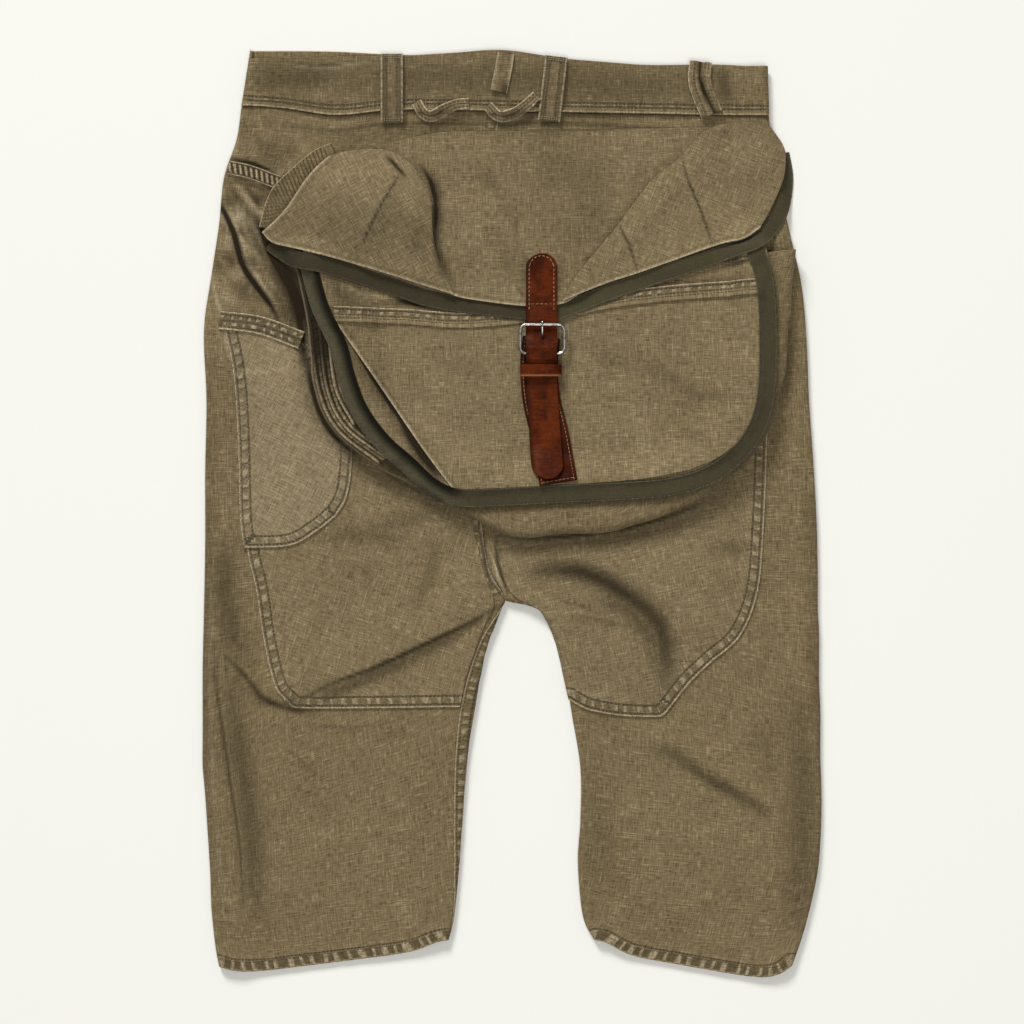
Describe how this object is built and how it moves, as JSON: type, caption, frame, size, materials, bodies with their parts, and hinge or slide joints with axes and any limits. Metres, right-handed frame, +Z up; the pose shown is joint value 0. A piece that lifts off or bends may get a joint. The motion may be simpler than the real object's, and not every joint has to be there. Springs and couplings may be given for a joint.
{
  "type": "shorts",
  "caption": "Long canvas shorts laid flat, back upward, with seat patches, a hip pocket and a flapped, buckled bag sewn on the seat.",
  "frame": {"origin": "centre of the garment's box on the surface it lies on", "axes": "+Y along the garment from the hems to the waistband, +X to the right as the back is seen, +Z up out of the back"},
  "size_m": [0.4948, 0.7408, 0.0384],
  "materials": {
    "canvas": "worn slubby olive brown canvas",
    "canvas_light": "worn slubby olive brown canvas, a little lighter",
    "binding": "dark grey green twill tape",
    "leather": "waxed red brown leather",
    "leather_dark": "dark, aged red brown leather",
    "nickel": "aged nickel"
  },
  "bodies": {
    "root": {"back_left": "canvas", "back_right": "canvas", "front_left": "canvas", "front_right": "canvas", "waistband_back": "canvas", "waistband_front_left": "canvas", "waistband_front_right": "canvas", "seat_patch_left": "canvas_light", "seat_patch_right": "canvas_light", "hip_pocket": "canvas_light", "hip_pocket_hem": "canvas_light", "side_yoke": "canvas_light", "belt_loop_left": "canvas_light", "belt_loop_center": "canvas_light", "belt_loop_right": "canvas_light", "hanger_strip": "canvas_light", "tie_tab_left": "canvas_light", "tie_tab_right": "canvas_light", "bag_gusset": "canvas", "gusset_pleat_1": "canvas", "gusset_pleat_2": "canvas", "gusset_pleat_3": "canvas", "bag_front": "canvas_light", "bag_front_hem": "canvas_light", "bag_pocket": "canvas_light", "bag_pocket_hem": "canvas_light", "bag_binding": "binding", "flap_binding_left": "binding", "flap_binding_right": "binding", "flap_middle": "canvas_light", "flap_wing_left": "canvas_light", "flap_edge_strip": "canvas", "flap_wing_right": "canvas_light", "strap_under": "leather_dark", "strap_upper": "leather", "strap_keeper": "leather", "buckle_frame": "nickel", "buckle_prong": "nickel"}
  },
  "joints": []
}
